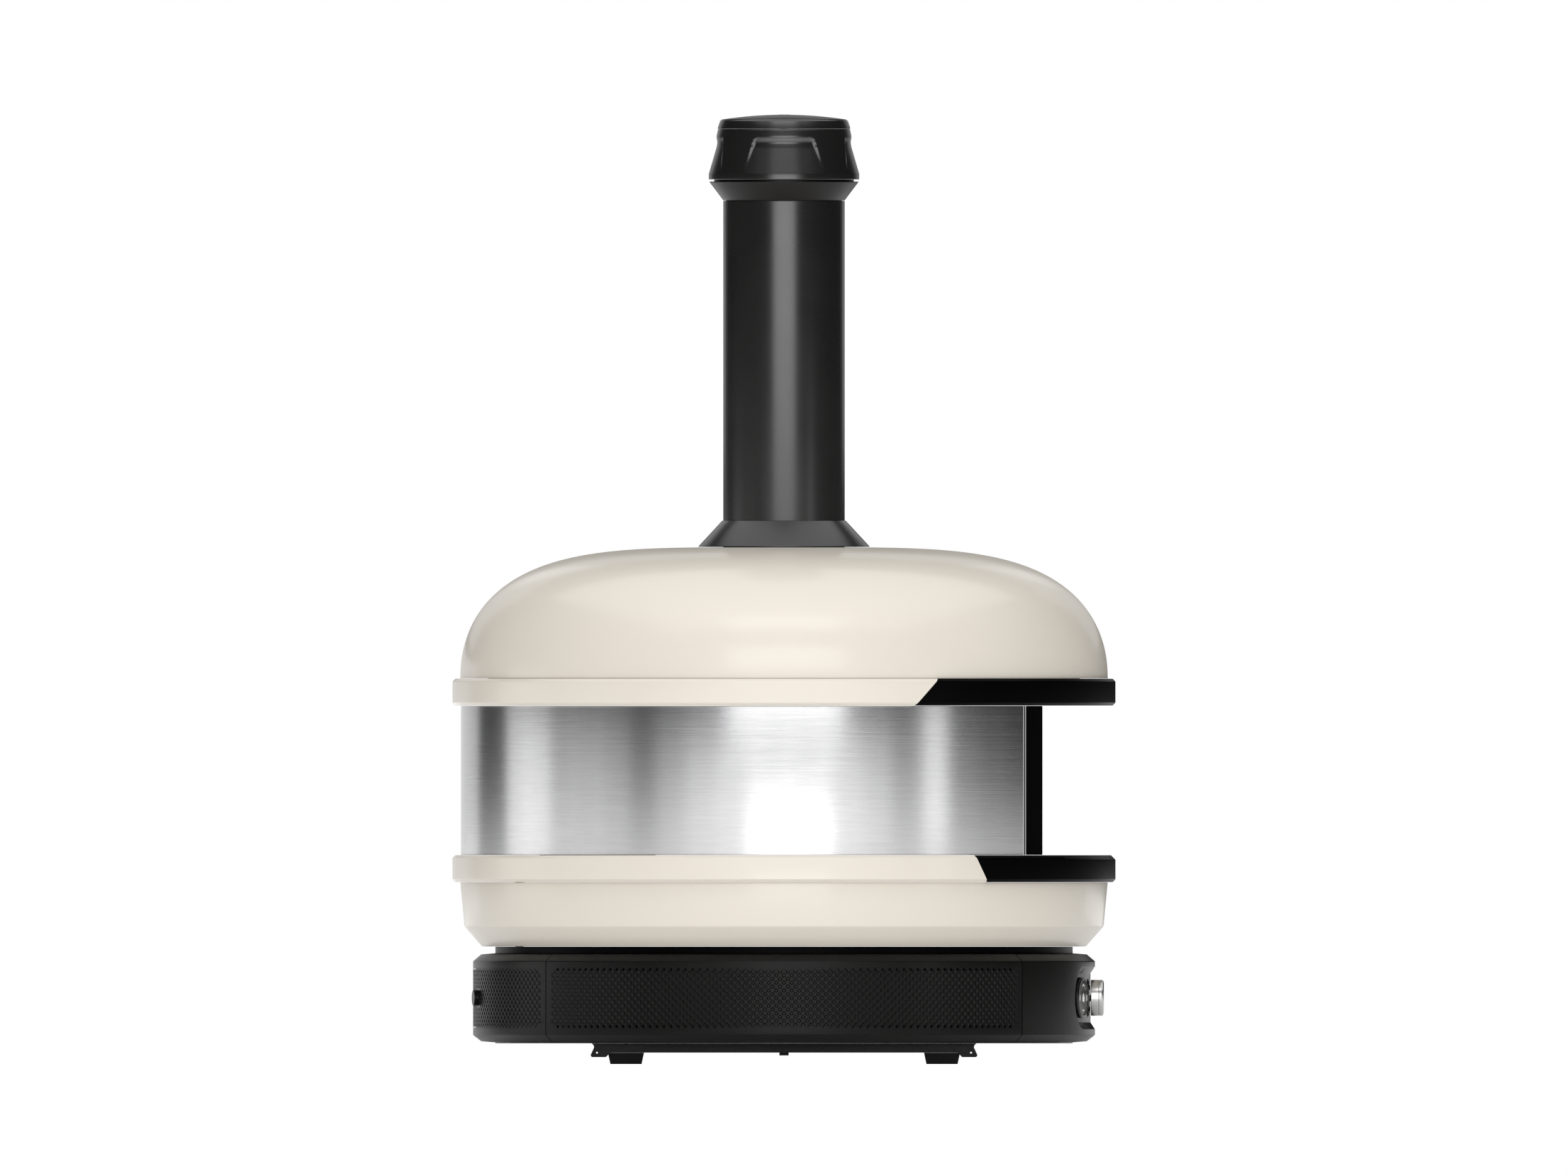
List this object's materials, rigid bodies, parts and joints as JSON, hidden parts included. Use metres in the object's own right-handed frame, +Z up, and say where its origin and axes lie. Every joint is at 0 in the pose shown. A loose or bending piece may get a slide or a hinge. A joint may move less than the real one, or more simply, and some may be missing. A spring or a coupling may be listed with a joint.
{
  "type": "pizza oven",
  "caption": "Round domed gas pizza oven on a drum base, with a steel band, arched mouth under a visor, landing shelf, dial, control pad and a tall flue with a turning damper cap.",
  "frame": {"origin": "on the ground under the centre of the feet and of the flue", "axes": "+Z up along the flue, +X out of the mouth, +Y to the oven's left"},
  "size_m": [0.6546, 0.6546, 0.9374],
  "materials": {
    "cream_enamel": "satin cream enamel",
    "satin_black": "satin black enamel",
    "base_black": "matt black powder coat",
    "flue_black": "satin heat-resistant black paint",
    "brushed_band": "horizontally brushed stainless steel",
    "dark_steel": "plain mill steel, heat darkened",
    "knob_silver": "spun anodised aluminium",
    "dial_black": "black plastic",
    "pad_black": "black plastic with white marks",
    "brass": "drawn brass",
    "pizza_stone": "cordierite, matt",
    "fibre_blanket": "ceramic fibre",
    "foot_rubber": "moulded rubber",
    "ceramic": "bare ceramic",
    "grey_plastic": "moulded"
  },
  "bodies": {
    "oven": {"foot_front_left": "foot_rubber", "foot_front_right": "foot_rubber", "foot_rear_left": "foot_rubber", "foot_rear_right": "foot_rubber", "foot_rail_left": "base_black", "foot_rail_right": "base_black", "centre_bolt": "dark_steel", "base_bottom_plate": "base_black", "base_top_plate": "dark_steel", "base_core_ring": "dark_steel", "base_panel_front": "base_black", "base_panel_rear": "base_black", "base_panel_left": "base_black", "base_panel_right": "base_black", "spacer_ring": "satin_black", "supply_pipe": "brass", "burner_feed_pipe": "brass", "gas_inlet": "brass", "valve_body": "brass", "valve_cover": "dark_steel", "pad_bezel": "dial_black", "ignition_module": "grey_plastic", "igniter_electrode": "ceramic", "lower_pan": "cream_enamel", "floor_insulation": "fibre_blanket", "stone_tray": "dark_steel", "pizza_stone": "pizza_stone", "flame_guard": "dark_steel", "burner_tube": "dark_steel", "lower_rim": "cream_enamel", "landing_shelf": "satin_black", "steel_band": "brushed_band", "band_hem_left": "dark_steel", "band_hem_right": "dark_steel", "band_insulation": "fibre_blanket", "chamber_wall": "dark_steel", "front_face": "satin_black", "mouth_liner": "dark_steel", "upper_rim": "cream_enamel", "visor": "satin_black", "dome_shell": "cream_enamel", "dome_insulation": "fibre_blanket", "inner_dome": "dark_steel", "flue_skirt": "flue_black", "flue_tube": "flue_black", "flue_collar": "flue_black", "damper_plate_fixed": "dark_steel"},
    "chimney_cap": {"cap_cowl": "flue_black", "cap_lid": "flue_black", "cap_screw": "dark_steel", "cap_spindle": "dark_steel", "damper_plate_turning": "dark_steel"},
    "valve_rotor": {"valve_plug": "brass"},
    "dial": {"dial_stem": "dark_steel", "dial_skirt": "dial_black", "dial_knob": "knob_silver"},
    "ignition_button": {"ignition_pad": "pad_black"}
  },
  "joints": [
    {"name": "damper_turn", "type": "hinge", "parent": "oven", "child": "chimney_cap", "pos_m": [0, 0, 0.8637], "axis": [0, 0, 1], "range_deg": [0, 45]},
    {"name": "valve_turn", "type": "hinge", "parent": "oven", "child": "valve_rotor", "pos_m": [0.28, -0.041, 0.0654], "axis": [1, 0, 0], "range_deg": [0, 240]},
    {"name": "dial_push", "type": "slide", "parent": "valve_rotor", "child": "dial", "axis": [-1, 0, 0], "range_m": [0, 0.003], "stiffness_N_per_m": 1500, "springref_m": -0.002},
    {"name": "pad_push", "type": "slide", "parent": "oven", "child": "ignition_button", "axis": [-0.9646, 0.2639, 0], "range_m": [0, 0.0012], "stiffness_N_per_m": 1500, "springref_m": -0.002}
  ]
}
